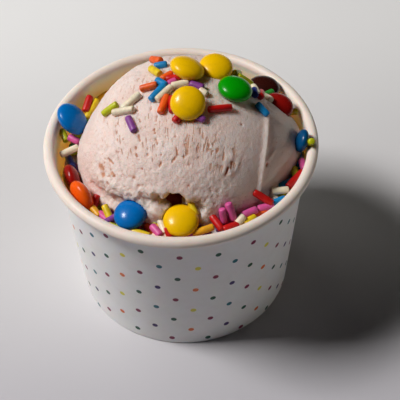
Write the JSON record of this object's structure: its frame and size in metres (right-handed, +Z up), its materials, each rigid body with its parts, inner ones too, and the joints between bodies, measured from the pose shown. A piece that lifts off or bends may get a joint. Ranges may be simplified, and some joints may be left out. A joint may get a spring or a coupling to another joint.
{
  "type": "gelato cup",
  "caption": "Paper cup with a rolled rim and dotted print, filled with a scoop of pale gelato strewn with sugar-coated candies and sprinkles.",
  "frame": {"origin": "middle of the foot ring, on the surface that the cup stands on", "axes": "+Z up along the cup's axis; the front of the cup, where the blue and yellow candies lie at the rim, faces -Y; +X to the right of it"},
  "size_m": [0.1, 0.1, 0.1005],
  "materials": {
    "cup_paper": "coated white paperboard with small printed dots, satin",
    "gelato": "pale pink cream, moist, slightly translucent, torn by the scoop",
    "candy_yellow": "polished sugar shell",
    "candy_green": "polished sugar shell",
    "candy_blue": "polished sugar shell",
    "candy_orange": "polished sugar shell",
    "candy_red": "polished sugar shell",
    "candy_brown": "polished sugar shell"
  },
  "bodies": {
    "root": {"cup_wall": "cup_paper", "cup_floor": "cup_paper", "gelato": "gelato", "candy_yellow_top_left": "candy_yellow", "candy_yellow_top_back": "candy_yellow", "candy_yellow_top_front": "candy_yellow", "candy_green_top": "candy_green", "candy_blue_left": "candy_blue", "candy_orange_left": "candy_orange", "candy_red_left": "candy_red", "candy_blue_front": "candy_blue", "candy_yellow_front": "candy_yellow", "candy_brown_hollow": "candy_brown", "candy_brown_back": "candy_brown", "candy_red_back": "candy_red", "candy_blue_right": "candy_blue"}
  },
  "joints": []
}
